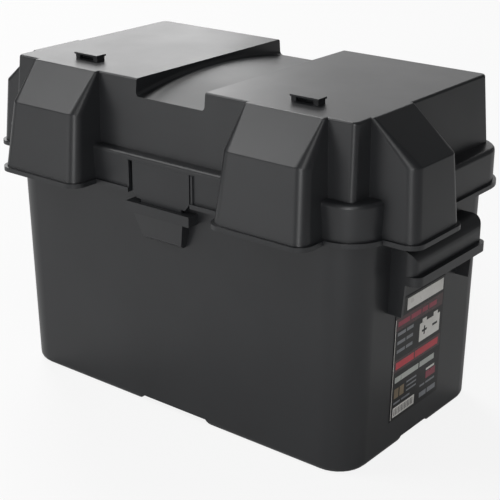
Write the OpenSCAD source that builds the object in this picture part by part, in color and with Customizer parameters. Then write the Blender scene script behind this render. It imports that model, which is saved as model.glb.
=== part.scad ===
// Snap-top battery box for a caravan, with a flooded deep cycle battery inside it.
// Millimetres. +X runs along the box, -Y is the cable side, Z = 0 is the floor it stands on.
// The origin is the bottom centre of the whole object's bounding box.

/* [Battery] */
// Length of the battery at its widest
battery_len = 306; // [270:1:370]
// Width of the battery at its widest
battery_wid = 173; // [150:1:210]
// Height of the battery, terminals included
battery_h = 225; // [205:1:275]
// Height of the terminals above the battery's cover
terminal_h = 21; // [18:1:26]
// Thickness of the battery case's walls and floor
case_wall = 3; // [2:0.5:4]
// Thickness of the partitions between the cells
partition_t = 2; // [1.5:0.5:3]
// Height of the battery's cover
cover_h = 16; // [12:1:20]
// Height of the ribs that hold the plates off the case floor
mud_rib_h = 12; // [8:1:18]
// Number of positive plates in a cell
plates_per_cell = 6; // [4:1:8]
// Thickness of a plate
plate_t = 2.4; // [1.5:0.1:3]
// Thickness of a separator sheet
separator_t = 0.8; // [0.5:0.1:1]
// Diameter of the positive post at its foot
post_d = 19.5; // [17:0.5:22]
// Diameter of the terminal stud
stud_d = 9.5; // [6:0.5:10]
// Diameter of a filler hole
filler_d = 18; // [14:1:22]
// Width of the carrying strap
strap_w = 24; // [16:1:30]

/* [Box] */
// Gap between the battery and the box at each end
bay_gap_x = 9.6; // [4:0.1:20]
// Gap between the battery and the box along each side
bay_gap_y = 2.5; // [2:0.5:10]
// Wall and floor thickness of the box
box_wall = 3; // [2.5:0.5:4]
// Outward lean of the box walls, in degrees
box_lean = 1; // [0.5:0.1:1.5]
// Corner radius of the box at its base
box_corner_r = 25; // [15:1:32]
// Radius of the rounded edge round the base
base_edge_r = 6; // [3:1:8]
// Height of the feet, which is the depth of the channels under the base
foot_h = 5.5; // [4.5:0.5:8]
// Width of the channel that runs lengthways under the base
long_channel_w = 38; // [24:1:60]

/* [Lid] */
// Free height above the battery, under the top of the lid
headroom = 28.7; // [18:0.1:50]
// Wall thickness of the lid
lid_wall = 2.6; // [2:0.1:3.5]
// Distance that the lid's top lies inside the base outline at each end
deck_inset_x = 4.2; // [2:0.1:9]
// Distance that the lid's top lies inside the base outline along each side
deck_inset_y = 4.3; // [3:0.1:8]
// Height of the lid's upper walls, from the ledge to the top
upper_h = 53.3; // [45:0.1:64]
// Outward lean of the lid's two long upper walls, in degrees
upper_lean = 5; // [2:0.5:7]
// Outward lean of the lid's two upper end walls, in degrees
upper_end_lean = 2.6; // [1:0.1:5]
// Height of the lid's skirt, from its bottom edge to the ledge
skirt_h = 30; // [26:1:36]
// Gap between the box's long walls and the inside of the skirt at the skirt's bottom edge
skirt_gap = 3; // [2.5:0.5:5]
// Gap between the box's end walls and the inside of the skirt at the skirt's bottom edge
skirt_end_gap = 5; // [2.5:0.5:8]
// Rounding of the ledge's outer edge
ledge_edge_r = 3.5; // [2:0.5:4]
// How far the bead round the skirt's bottom stands out
bead_out = 2.6; // [1:0.1:3]
// Height of that bead
bead_h = 3.5; // [2:0.5:5]
// Width of the strap channel over the lid, and of the one under the base
channel_w = 66; // [52:1:84]
// Depth of the strap channel at the middle of the lid
channel_mid_depth = 5; // [4.5:0.5:8]
// Depth of the strap channel at the lid's two long edges
channel_end_depth = 13; // [8:0.5:18]
// Radius in the bottom corners of the strap channel
channel_corner_r = 3; // [2:0.5:8]
// Rounding of the lid's outer edges
lid_edge_r = 2; // [0.8:0.1:2.4]
// Rounding of the four upright corners of the lid's upper part
lid_corner_r = 4.5; // [3:0.5:8]

/* [Cable hoods] */
// Distance from the lid's centre to the middle of a front hood
hood_x = 104.8; // [92:0.1:118]
// Width of a front hood at the top
hood_w = 68; // [50:1:78]
// Reach of a front hood beyond the lid's wall, at the foot of its slope
hood_reach = 28.7; // [22:0.1:40]
// Lean of a front hood's face, in degrees
hood_face_lean = 8.5; // [2:0.5:12]
// Distance from the lid's centre line to the middle of an end hood
end_hood_y = 44; // [38:1:48]
// Width of an end hood at the top
end_hood_w = 52; // [40:1:60]
// Reach of an end hood beyond the lid's wall, at the foot of its slope
end_hood_reach = 37.1; // [30:0.1:44]
// Lean of an end hood's face, in degrees
end_hood_face_lean = 4; // [1:0.5:8]
// Distance that the top of a front hood steps out over the lid's wall
hood_step = 4; // [2:0.5:6]
// Distance that the top of an end hood steps out over the lid's wall
end_hood_step = 2.6; // [1:0.1:5]
// Drop of a hood's slope
hood_drop = 29.5; // [20:0.5:36]
// Outward lean of a hood's sides, in degrees
hood_side_lean = 3.5; // [1:0.5:6]
// Outward lean of a front hood's outer side, in degrees
hood_outer_lean = 5; // [1:0.5:7]
// Radius of a hood's two outer corners
hood_corner_r = 9; // [4:1:12]

/* [Vents] */
// Length of a vent cap
vent_len = 24.5; // [16:0.5:34]
// Width of a vent cap
vent_wid = 10; // [8:0.5:16]
// Height of a vent cap above the lid
vent_h = 4.8; // [4:0.1:8]
// Thickness of a vent cap's top
vent_top_t = 1.4; // [1.2:0.1:2.5]
// Distance from the lid's front edge to the middle of a vent
vent_y = 28.7; // [20:0.1:50]

/* [Snap latches] */
// Width of a snap tab
tab_w = 56; // [40:1:64]
// Width of the slit at each side of a tab
slit_w = 2.3; // [1.5:0.1:3]
// Height of the solid strip left above a tab
tab_root_h = 5.5; // [4:0.5:8]
// Width of the tongue at a tab's lower end
tongue_w = 40; // [30:1:48]
// Distance that the tongue reaches below the skirt
tongue_drop = 12.5; // [11:0.5:18]
// Height of the catch bar on the box
bar_h = 8; // [6:0.5:12]
// Drop from the skirt's bottom edge to the top of the catch bar
bar_drop = 6; // [4:0.5:10]
// Thickness of the catch bar
bar_t = 4; // [3:0.5:6]
// Distance that the catch bar stands out past the tab at each side
bar_side = 3; // [2:0.5:6]
// Height of the pocket below the catch bar
pocket_h = 21; // [15:1:28]
// Clearance between a tab and what it passes
tab_gap = 0.6; // [0.4:0.1:1]

/* [Handles] */
// Width of each end handle
handle_w = 98; // [80:1:120]
// Reach of a handle beyond the box's end wall
handle_reach = 19; // [16:1:26]
// Height of a handle, from its lip to its top
handle_h = 26; // [22:1:32]
// Distance from the skirt's bottom edge down to the top of a handle
handle_drop = 12.5; // [8:0.5:20]
// Radius along the top edge of a handle
handle_edge_r = 11; // [5:1:14]
// Rounding of a handle's two upright corners
handle_corner_r = 7; // [4:1:12]
// Thickness of a handle's walls
handle_wall = 2.8; // [2:0.1:4]
// How far the lip along a handle's bottom stands out
lip_out = 3.5; // [2:0.5:5]
// Height of that lip
lip_h = 7; // [4:0.5:8]
// Height of the gussets below a handle
gusset_h = 25; // [15:1:35]

/* [Label] */
// Width of the label
label_w = 68; // [30:1:80]
// Height of the label
label_h = 98; // [40:1:104]
// Thickness of the label
label_t = 0.4; // [0.3:0.1:0.8]
// Height of the label's lower edge above the floor
label_z = 25; // [16:1:60]
// Distance of the label's middle from the box's centre line, towards the cable side
label_y = 4; // [0:1:20]

/* [Hidden] */

box_color = "#2b2c2e";
case_color = "#26282b";
lead_color = "#8a8d92";
plate_color = "#5a4438";

// Box: half sizes at the base, and what its walls lean out by at a height z
base_x = battery_len / 2 + bay_gap_x + box_wall;
base_y = battery_wid / 2 + bay_gap_y + box_wall;
function box_out(z) = z * tan(box_lean);
floor_z = foot_h + box_wall;

// The rounded corners of the case follow the bay's, which are tightest at the floor
bay_edge_r = 2;
corner_gap = 0.5;
bay_corner_r = box_corner_r + box_out(floor_z) - box_wall - bay_edge_r;
corner_over_x = battery_len / 2 - base_x + box_corner_r;
corner_over_y = battery_wid / 2 - base_y + box_corner_r;
case_corner_r = max(6, corner_over_x + corner_over_y - bay_corner_r + corner_gap);

// Levels of the lid
deck_z = floor_z + battery_h + headroom + lid_wall;
ledge_z = deck_z - upper_h;
skirt_z = ledge_z - skirt_h;
rim_gap = 0.4;
rim_z = ledge_z - lid_wall - rim_gap;

// Lid: half sizes
deck_x = base_x - deck_inset_x;
deck_y = base_y - deck_inset_y;
skirt_x = base_x + box_out(skirt_z) + skirt_end_gap + lid_wall;
skirt_y = base_y + box_out(skirt_z) + skirt_gap + lid_wall;
skirt_r = box_corner_r + box_out(skirt_z);
slope_z = deck_z - hood_drop;

// Snap latches, as distances from the box's centre plane
tab_face = skirt_y;
tab_back = skirt_y - lid_wall;
tab_top_z = ledge_z - tab_root_h;
bar_top_z = skirt_z - bar_drop;
bar_back = tab_face + tab_gap;
bar_face = bar_back + bar_t;
tab_split = 0.3;
slot_side_gap = 1.5;
slot_end_gap = 1.5;

// Front and rear reach of the whole object, which centre the frame
front_reach = deck_y + hood_reach + (slope_z - skirt_z - bead_h) * tan(hood_face_lean) + bead_out;
centre_y = (front_reach - bar_face) / 2;

handle_top_z = skirt_z - handle_drop;
lip_z = handle_top_z - handle_h;

// Battery: levels
case_bottom_z = floor_z;
battery_cover_z = floor_z + battery_h - terminal_h;
case_top_z = battery_cover_z - cover_h;
cell_count = 6;
cell_pitch = (battery_len - 2 * case_wall + partition_t) / cell_count;
cell_len = cell_pitch - partition_t;
plates_bottom_z = floor_z + case_wall + mud_rib_h;
plates_top_z = case_top_z - 34;
cover_skin = 8;
lug_h = 10;
bus_h = 6;
bus_top_z = plates_top_z + lug_h + bus_h;
link_z = 7;
link_d = 9;
plate_pitch = cell_len / (2 * plates_per_cell + 1);
plate_half_y = battery_wid / 2 - case_corner_r;
bus_y = 46;
bus_w = 14;
post_x = battery_len / 2 - 34;
post_y = 52;
stud_y = post_y - 22;
bushing_d = post_d + 8;
lug_w = 16;
lug_t = 5;
stud_z = battery_cover_z + 0.5;
stud_top_z = stud_z + terminal_h - 1;
stud_head_t = 2.5;
lug_z = stud_z + stud_head_t;
washer_t = 1.5;
nut_across = 16;
nut_t = 7;
nut_z = lug_z + lug_t + washer_t;
lead_in_z = nut_z + nut_t + 0.3;
lead_in_d = stud_d - 1.5;
cap_plug_h = 9;
cap_h = 9;
cap_w = 26;
fit_gap = 0.2;

// A rectangle with rounded corners, given its half sizes
module round_rect(hx, hy, r) {
    hull() {
        for (sx = [-1, 1], sy = [-1, 1]) {
            translate([sx * (hx - r), sy * (hy - r)])
                circle(r, $fn = 32);
        }
    }
}

// A thin level of a lofted shell
module level(z, hx, hy, r) {
    translate([0, 0, z])
        linear_extrude(0.01)
            round_rect(hx, hy, max(r, 0.5));
}

// Moves a piece from the box's own centre line to the object's frame
module on_centre() {
    translate([0, centre_y, 0])
        children();
}

// ---- Box ----

// The box's walls as a solid, with its faces moved in by inset: cones at the four corners,
// standing on short ones that round the edge of the base
module box_solid(inset, z_low, z_high, edge_r) {
    steps = 5;
    function edge_z(k) = z_low + edge_r * (1 - cos(90 * k / steps));
    function corner_r(z, shrink) = box_corner_r + box_out(z) - shrink;
    function edge_shrink(k) = inset + edge_r * (1 - sin(90 * k / steps));
    hull() {
        for (sx = [-1, 1], sy = [-1, 1])
            translate([sx * (base_x - box_corner_r), sy * (base_y - box_corner_r), 0]) {
                for (k = [0 : steps - 1])
                    translate([0, 0, edge_z(k)])
                        cylinder(
                            h = edge_z(k + 1) - edge_z(k),
                            r1 = corner_r(edge_z(k), edge_shrink(k)),
                            r2 = corner_r(edge_z(k + 1), edge_shrink(k + 1)), $fn = 32
                        );
                translate([0, 0, z_low + edge_r])
                    cylinder(
                        h = z_high - z_low - edge_r,
                        r1 = corner_r(z_low + edge_r, inset), r2 = corner_r(z_high, inset), $fn = 32
                    );
            }
    }
}

// A channel under the base: a flat roof and sides that flare towards the floor
module base_channel(w, reach, grow) {
    rotate([90, 0, 0])
        linear_extrude(2 * reach, center = true)
            polygon([
                [-w / 2 - grow, foot_h + grow], [w / 2 + grow, foot_h + grow],
                [w / 2 + foot_h + grow, -1], [-w / 2 - foot_h - grow, -1]
            ]);
}

// The prism of an end handle, seen from the +X end; side is 1 or -1
module handle_profile(inset) {
    wall_x = base_x + box_out(handle_top_z) - 1;
    face_x = base_x + box_out(handle_top_z) + handle_reach - inset;
    edge_r = handle_edge_r - inset;
    top_z = handle_top_z - inset;
    union() {
        translate([wall_x, lip_z - 1])
            square([face_x - wall_x - edge_r, top_z - lip_z + 1]);
        translate([wall_x, lip_z - 1])
            square([face_x - wall_x, top_z - edge_r - lip_z + 1]);
        translate([face_x - edge_r, top_z - edge_r])
            circle(edge_r, $fn = 48);
    }
}

// The plan of an end handle with its two upright corners rounded, reaching to face_x
module handle_plan(face_x, inset) {
    r = handle_corner_r - inset;
    half = handle_w / 2 - inset;
    translate([face_x - inset, 0])
        union() {
            translate([-2 * handle_reach, -half])
                square([2 * handle_reach - r, 2 * half]);
            translate([-2 * handle_reach, r - half])
                square([2 * handle_reach, 2 * (half - r)]);
            for (s = [-1, 1])
                translate([-r, s * (half - r)])
                    circle(r, $fn = 48);
        }
}

module handle(side) {
    face_x = base_x + box_out(handle_top_z) + handle_reach;
    root_x = base_x + box_out(lip_z - gusset_h) - 1;
    gusset_foot_x = face_x - 9;
    mirror([side < 0 ? 1 : 0, 0, 0]) {
        difference() {
            intersection() {
                rotate([90, 0, 0])
                    linear_extrude(handle_w, center = true)
                        handle_profile(0);
                translate([0, 0, lip_z])
                    linear_extrude(handle_h)
                        handle_plan(face_x, 0);
            }
            intersection() {
                rotate([90, 0, 0])
                    linear_extrude(handle_w, center = true)
                        handle_profile(handle_wall);
                translate([0, 0, lip_z - 1])
                    linear_extrude(handle_h + 1)
                        handle_plan(face_x, handle_wall);
            }
        }
        translate([0, 0, lip_z])
            linear_extrude(lip_h)
                difference() {
                    handle_plan(face_x + lip_out, 0);
                    translate([-1, 0])
                        handle_plan(face_x, 0.5);
                    translate([root_x - handle_reach, -handle_w])
                        square([face_x - root_x + handle_reach - handle_corner_r, 2 * handle_w]);
                }
        for (sy = [-1, 1]) {
            translate([0, sy * (handle_w - handle_wall) / 2, 0])
                rotate([90, 0, 0])
                    linear_extrude(handle_wall, center = true)
                        polygon([
                            [root_x, lip_z + 1], [face_x - handle_corner_r, lip_z + 1],
                            [gusset_foot_x, lip_z - gusset_h], [root_x, lip_z - gusset_h]
                        ]);
        }
    }
}

// The catch on one long wall: a bar, and the pocket below it, which narrows downwards
module catch(side) {
    bar_half = tab_w / 2 + bar_side;
    pocket_half = tongue_w / 2 + 4.5;
    pocket_low_half = pocket_half - 6;
    pocket_low_out = 5;
    root_y = base_y - 1;
    bar_low_z = bar_top_z - bar_h;
    pocket_low_z = bar_low_z - pocket_h;
    slot_low_z = skirt_z - tongue_drop - slot_end_gap;
    mirror([0, side > 0 ? 0 : 1, 0])
        difference() {
            union() {
                translate([-bar_half, root_y, bar_low_z])
                    cube([2 * bar_half, bar_face - root_y, bar_h]);
                intersection() {
                    rotate([90, 0, 90])
                        linear_extrude(2 * pocket_half, center = true)
                            polygon([
                                [root_y, bar_low_z + 1], [bar_face - 0.5, bar_low_z + 1],
                                [bar_face - pocket_low_out, pocket_low_z + 2],
                                [bar_face - pocket_low_out - 3, pocket_low_z], [root_y, pocket_low_z]
                            ]);
                    translate([0, bar_face, 0])
                        rotate([90, 0, 0])
                            linear_extrude(2 * bar_face)
                                polygon([
                                    [-pocket_half, bar_low_z + 1], [pocket_half, bar_low_z + 1],
                                    [pocket_low_half, pocket_low_z], [-pocket_low_half, pocket_low_z]
                                ]);
                }
            }
            translate([-tongue_w / 2 - slot_side_gap, base_y + box_out(bar_top_z), slot_low_z])
                cube([tongue_w + 2 * slot_side_gap, bar_back - base_y - box_out(bar_top_z), 2 * bar_h]);
        }
}

module box_tub() {
    color(box_color)
        on_centre()
            difference() {
                union() {
                    box_solid(0, 0, rim_z, base_edge_r);
                    for (side = [-1, 1]) {
                        handle(side);
                        catch(side);
                    }
                }
                box_solid(box_wall, floor_z, rim_z + 1, bay_edge_r);
                base_channel(channel_w, 2 * base_y, 0);
                rotate([0, 0, 90])
                    base_channel(long_channel_w, 2 * base_x, 0);
            }
}

module end_label() {
    mid_z = label_z + label_h / 2;
    color("#111113")
        on_centre()
            translate([base_x + box_out(mid_z), 0, mid_z])
                rotate([0, box_lean, 0])
                    translate([0, -label_w / 2 - label_y, -label_h / 2])
                        cube([label_t, label_w, label_h]);
}

// ---- Lid ----

// A disc with a rounded rim, which gives a hull both its corner and its edge radius
module soft_disc(r, edge_r) {
    rotate_extrude($fn = 32)
        intersection() {
            translate([r - edge_r, 0])
                circle(edge_r, $fn = 16);
            translate([0, -edge_r])
                square([r, 2 * edge_r]);
        }
}

// The lid's upper part, with its faces moved in by inset
module lid_upper(inset) {
    low_z = ledge_z - 4;
    low_x = deck_x + (deck_z - low_z) * tan(upper_end_lean);
    low_y = deck_y + (deck_z - low_z) * tan(upper_lean);
    r = lid_corner_r - inset / 2;
    hull() {
        for (sx = [-1, 1], sy = [-1, 1]) {
            translate([sx * (deck_x - inset - r), sy * (deck_y - inset - r), deck_z - inset - lid_edge_r])
                soft_disc(r, lid_edge_r);
            translate([sx * (low_x - inset - r), sy * (low_y - inset - r), low_z])
                cylinder(r = r, h = 0.1, $fn = 32);
        }
    }
}

// The skirt, with its faces moved in by inset and its bottom at z_low
module lid_skirt(inset, z_low) {
    hull() {
        level(z_low, skirt_x - inset, skirt_y - inset, skirt_r - inset);
        for (a = [0 : 30 : 90]) {
            shrink = inset + ledge_edge_r * (1 - cos(a));
            level(ledge_z - inset - ledge_edge_r * (1 - sin(a)) - 0.01,
                skirt_x - shrink, skirt_y - shrink, skirt_r - shrink);
        }
    }
}

// A cable hood on the wall y = wall_y, pointing to -Y, and running down to z_low; leans holds
// the outward lean of its -X side and of its +X side
module hood(mid_x, top_w, wall_y, step, reach, face_lean, leans, inset, z_low) {
    root_y = 16 - wall_y;
    low_reach = reach + (slope_z - z_low) * tan(face_lean);
    top_half = top_w / 2 - inset;
    top_r = lid_edge_r + 0.4;
    corner_r = hood_corner_r - inset / 2;
    translate([mid_x, 0, 0])
        hull() {
            for (s = [-1, 1]) {
                lean = s < 0 ? leans[0] : leans[1];
                slope_half = top_half + hood_drop * tan(lean);
                low_half = top_half + (deck_z - z_low) * tan(lean);
                for (y = [top_r + inset - wall_y - step, root_y])
                    translate([s * (top_half - top_r), y, deck_z - inset - lid_edge_r])
                        soft_disc(top_r, lid_edge_r);
                translate([
                    s * (slope_half - corner_r), corner_r + inset - wall_y - reach, slope_z - inset / 2
                ])
                    soft_disc(corner_r, lid_edge_r);
                translate([s * (low_half - corner_r), corner_r + inset - wall_y - low_reach, z_low])
                    cylinder(r = corner_r, h = 0.1, $fn = 32);
                translate([s * (low_half - 1) - 1, root_y - 1, z_low])
                    cube([2, 2, 0.1]);
            }
        }
}

module front_hoods(inset, z_low) {
    for (s = [0, 1])
        mirror([s, 0, 0])
            hood(
                hood_x, hood_w, deck_y, hood_step, hood_reach, hood_face_lean,
                [hood_side_lean, hood_outer_lean], inset, z_low
            );
}

module end_hoods(inset, z_low) {
    for (s = [0, 1])
        mirror([s, 0, 0])
            rotate([0, 0, 90])
                hood(
                    -end_hood_y, end_hood_w, deck_x, end_hood_step, end_hood_reach, end_hood_face_lean,
                    [hood_side_lean, hood_side_lean], inset, z_low
                );
}

// The footprint of the skirt and the hoods at the bottom edge
module lid_outline(grow) {
    offset(r = grow, $fn = 32)
        projection(cut = true)
            translate([0, 0, -skirt_z - bead_h])
                union() {
                    lid_skirt(0, skirt_z);
                    front_hoods(0, skirt_z);
                    end_hoods(0, skirt_z);
                }
}

// The strap channel: its floor is an arc from one long edge of the lid to the other
module strap_channel(grow) {
    rise = channel_end_depth - channel_mid_depth;
    arc_r = (deck_y * deck_y + rise * rise) / (2 * rise);
    half_w = channel_w / 2 + grow;
    r = channel_corner_r + grow;
    translate([0, 0, deck_z - channel_mid_depth - arc_r])
        rotate([0, -90, 0])
            rotate([0, 0, -20])
                rotate_extrude(angle = 40, $fn = 360)
                    translate([arc_r - grow, 0]) {
                        translate([r, -half_w])
                            square([60, 2 * half_w]);
                        translate([0, -half_w + r])
                            square([60, 2 * half_w - 2 * r]);
                        for (s = [-1, 1])
                            translate([r, s * (half_w - r)])
                                circle(r, $fn = 32);
                    }
}

// A raised vent cap on the lid's top: a roof on three walls, open at the front between two cheeks
module vent(mid_x) {
    set_in = 0.8;
    wall = 1.6;
    cheek = 4;
    translate([mid_x - vent_len / 2, -deck_y - hood_step + vent_y - vent_wid / 2, deck_z]) {
        translate([0, 0, vent_h - vent_top_t])
            cube([vent_len, vent_wid, vent_top_t]);
        for (x = [set_in, vent_len - set_in - wall])
            translate([x, set_in, -1])
                cube([wall, vent_wid - 2 * set_in, vent_h]);
        for (x = [set_in, vent_len - set_in - cheek])
            translate([x, set_in, -1])
                cube([cheek, wall, vent_h]);
        translate([set_in, vent_wid - set_in - wall, -1])
            cube([vent_len - 2 * set_in, wall, vent_h]);
    }
}

module vent_hole(mid_x) {
    side = 3.6;
    end = 3;
    translate([mid_x - vent_len / 2 + side, -deck_y - hood_step + vent_y - vent_wid / 2 + end, deck_z - 5])
        cube([vent_len - 2 * side, vent_wid - 2 * end, 10]);
}

// The opening in the skirt that holds a snap tab; side is 1 for the rear, -1 for the front
module tab_opening(side) {
    half = tab_w / 2 + slit_w;
    mirror([0, side > 0 ? 0 : 1, 0])
        translate([-half, tab_back - 4, skirt_z - 1])
            cube([2 * half, 12, tab_top_z - skirt_z + 1]);
}

// The raised lip along the two upright edges of that opening
module slit_lips(side) {
    half = tab_w / 2 + slit_w;
    lip_w = 1.8;
    mirror([0, side > 0 ? 0 : 1, 0])
        for (s = [-1, 1])
            translate([s * (half + lip_w / 2) - lip_w / 2, tab_back + 0.5, skirt_z])
                cube([lip_w, lid_wall + 0.7, tab_top_z - skirt_z]);
}

module lid_shell() {
    color(box_color)
        on_centre() {
            difference() {
                union() {
                    difference() {
                        union() {
                            lid_upper(0);
                            lid_skirt(0, skirt_z);
                            front_hoods(0, skirt_z);
                            end_hoods(0, skirt_z);
                            translate([0, 0, skirt_z])
                                linear_extrude(bead_h)
                                    lid_outline(bead_out);
                        }
                        strap_channel(0);
                    }
                    slit_lips(-1);
                    slit_lips(1);
                }
                difference() {
                    union() {
                        lid_upper(lid_wall);
                        lid_skirt(lid_wall, skirt_z - 1);
                        front_hoods(lid_wall, skirt_z - 1);
                        end_hoods(lid_wall, skirt_z - 1);
                    }
                    strap_channel(lid_wall);
                }
                tab_opening(-1);
                tab_opening(1);
                vent_hole(-hood_x);
                vent_hole(hood_x);
            }
            vent(-hood_x);
            vent(hood_x);
        }
}

// A snap tab: a plate in the skirt and a narrower tongue that drops behind the catch bar
module snap_tab(side) {
    split_z = bar_top_z + 2;
    color(box_color)
        on_centre()
            mirror([0, side > 0 ? 0 : 1, 0])
                rotate([90, 0, 0])
                    translate([0, 0, -tab_face])
                        linear_extrude(lid_wall)
                            polygon([
                                [-tab_w / 2, tab_top_z - tab_split], [tab_w / 2, tab_top_z - tab_split],
                                [tab_w / 2, skirt_z + 2], [tab_w / 2 - 4, split_z], [tongue_w / 2, split_z],
                                [tongue_w / 2, skirt_z - tongue_drop + 2],
                                [tongue_w / 2 - 2, skirt_z - tongue_drop],
                                [2 - tongue_w / 2, skirt_z - tongue_drop],
                                [-tongue_w / 2, skirt_z - tongue_drop + 2],
                                [-tongue_w / 2, split_z], [4 - tab_w / 2, split_z],
                                [-tab_w / 2, skirt_z + 2]
                            ]);
}

// ---- Battery ----

function cell_x(i) = (i - (cell_count - 1) / 2) * cell_pitch;

// A rectangle with true round corners, given its half sizes
module plan_rect(hx, hy, r) {
    square([2 * (hx - r), 2 * hy], center = true);
    square([2 * hx, 2 * (hy - r)], center = true);
    for (sx = [-1, 1], sy = [-1, 1])
        translate([sx * (hx - r), sy * (hy - r)])
            circle(r, $fn = 48);
}

module battery_case() {
    hx = battery_len / 2;
    hy = battery_wid / 2;
    rib_t = 3;
    color(case_color)
        on_centre()
            translate([0, 0, case_bottom_z]) {
                difference() {
                    linear_extrude(case_top_z - case_bottom_z)
                        plan_rect(hx, hy, case_corner_r);
                    intersection() {
                        translate([0, 0, case_wall])
                            linear_extrude(case_top_z)
                                plan_rect(hx - case_wall, hy - case_wall, case_corner_r - case_wall);
                        for (i = [0 : cell_count - 1])
                            translate([cell_x(i) - cell_len / 2, -hy, 0])
                                cube([cell_len, 2 * hy, 2 * case_top_z]);
                    }
                    for (i = [0 : cell_count - 2])
                        translate([cell_x(i) + cell_pitch / 2, positive_side(i) * bus_y, 0])
                            translate([-partition_t, 0, bus_top_z + link_z - case_bottom_z])
                                rotate([0, 90, 0])
                                    cylinder(d = link_d + 2 * fit_gap, h = 2 * partition_t, $fn = 32);
                }
                for (i = [0 : cell_count - 1], y = [-50, 50])
                    translate([cell_x(i) - cell_len / 2 - 0.5, y - rib_t / 2, case_wall - 0.5])
                        cube([cell_len + 1, rib_t, mud_rib_h + 0.5]);
            }
}

module battery_cover() {
    hx = battery_len / 2;
    hy = battery_wid / 2;
    tier_step = 3;
    tier_h = 5;
    color(case_color)
        on_centre()
            difference() {
                union() {
                    translate([0, 0, case_top_z])
                        linear_extrude(cover_h - tier_h)
                            plan_rect(hx, hy, case_corner_r);
                    translate([0, 0, case_top_z + cover_h - tier_h - 1])
                        linear_extrude(tier_h + 1)
                            plan_rect(hx - tier_step, hy - tier_step, case_corner_r - tier_step);
                }
                translate([0, 0, case_top_z - 1])
                    linear_extrude(cover_h - cover_skin + 1)
                        plan_rect(hx - case_wall, hy - case_wall, case_corner_r - case_wall);
                for (i = [0 : cell_count - 1])
                    translate([cell_x(i), 0, case_top_z])
                        cylinder(d = filler_d, h = cover_h + 1, $fn = 48);
                for (s = [-1, 1])
                    translate([s * post_x, post_y, case_top_z])
                        cylinder(d = bushing_d + 2 * fit_gap, h = cover_h + 1, $fn = 48);
            }
}

// A gang cap closes three filler holes; first is the number of its first cell
module vent_cap(first) {
    x0 = cell_x(first) - filler_d / 2 - 4;
    x1 = cell_x(first + 2) + filler_d / 2 + 4;
    color("#d9b21f")
        on_centre() {
            difference() {
                translate([x0, -cap_w / 2, battery_cover_z + fit_gap])
                    cube([x1 - x0, cap_w, cap_h]);
                translate([x0 + 12, -cap_w / 2 - 1, battery_cover_z + cap_h - 2.5])
                    cube([x1 - x0 - 24, 4, 4]);
                translate([x0 + 12, cap_w / 2 - 3, battery_cover_z + cap_h - 2.5])
                    cube([x1 - x0 - 24, 4, 4]);
            }
            for (i = [first : first + 2])
                translate([cell_x(i), 0, battery_cover_z - cap_plug_h])
                    difference() {
                        cylinder(d = filler_d - 3, h = cap_plug_h + 1, $fn = 48);
                        translate([0, 0, -1])
                            cylinder(d = filler_d - 7, h = cap_plug_h, $fn = 48);
                    }
        }
}

// The ring round each plug of a gang cap
module cap_seals(first) {
    color("#1b1b1b")
        on_centre()
            for (i = [first : first + 2])
                translate([cell_x(i), 0, battery_cover_z - 3.4])
                    difference() {
                        cylinder(d = filler_d - 2 * fit_gap, h = 2.4, $fn = 48);
                        translate([0, 0, -1])
                            cylinder(d = filler_d - 3 + 0.1, h = 5, $fn = 48);
                    }
}

module bushing(side) {
    color(lead_color)
        on_centre()
            translate([side * post_x, post_y, battery_cover_z - 5 + fit_gap])
                difference() {
                    cylinder(d = bushing_d, h = 7, $fn = 48);
                    translate([0, 0, -1])
                        cylinder(d = post_d + 2 * fit_gap, h = 10, $fn = 48);
                }
}

// A tapered post with its pillar down into the end cell, and a side lug for the stud
module post(side, d) {
    color(lead_color)
        on_centre()
            translate([side * post_x, post_y, 0])
                difference() {
                    union() {
                        translate([0, 0, bus_top_z])
                            cylinder(d = d - 2, h = battery_cover_z - bus_top_z + 2, $fn = 48);
                        translate([0, 0, battery_cover_z + 1])
                            cylinder(d1 = d, d2 = d - 2, h = terminal_h - 1, $fn = 48);
                        translate([-lug_w / 2, stud_y - post_y - lug_w / 2, lug_z])
                            cube([lug_w, post_y - stud_y + lug_w / 2, lug_t]);
                    }
                    translate([0, stud_y - post_y, battery_cover_z])
                        cylinder(d = stud_d + 2 * fit_gap, h = 12, $fn = 32);
                }
}

// The stud: a head held under the lug, the threaded shank, and a plain lead-in at its free end
module stud(side) {
    color("#c8cacd")
        on_centre()
            translate([side * post_x, stud_y, 0]) {
                translate([0, 0, stud_z])
                    cylinder(d = stud_d + 5, h = stud_head_t, $fn = 32);
                translate([0, 0, stud_z])
                    cylinder(d = stud_d, h = lead_in_z - stud_z, $fn = 32);
                translate([0, 0, lead_in_z - 1])
                    cylinder(d = lead_in_d, h = stud_top_z - lead_in_z + 1, $fn = 32);
            }
}

module washer(side) {
    color("#b9bbbf")
        on_centre()
            translate([side * post_x, stud_y, lug_z + lug_t])
                difference() {
                    cylinder(d = 2 * stud_d - 2, h = washer_t, $fn = 32);
                    translate([0, 0, -1])
                        cylinder(d = stud_d + 2 * fit_gap, h = 4, $fn = 32);
                }
}

module nut(side) {
    color("#a9abae")
        on_centre()
            translate([side * post_x, stud_y, nut_z])
                difference() {
                    cylinder(d = nut_across, h = nut_t, $fn = 6);
                    translate([0, 0, -1])
                        cylinder(d = stud_d + 2 * fit_gap, h = 10, $fn = 32);
                }
}

// The side on which a cell's positive lugs stand; it alternates, so that the cells join in series
function positive_side(cell) = cell % 2 == 0 ? -1 : 1;

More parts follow.
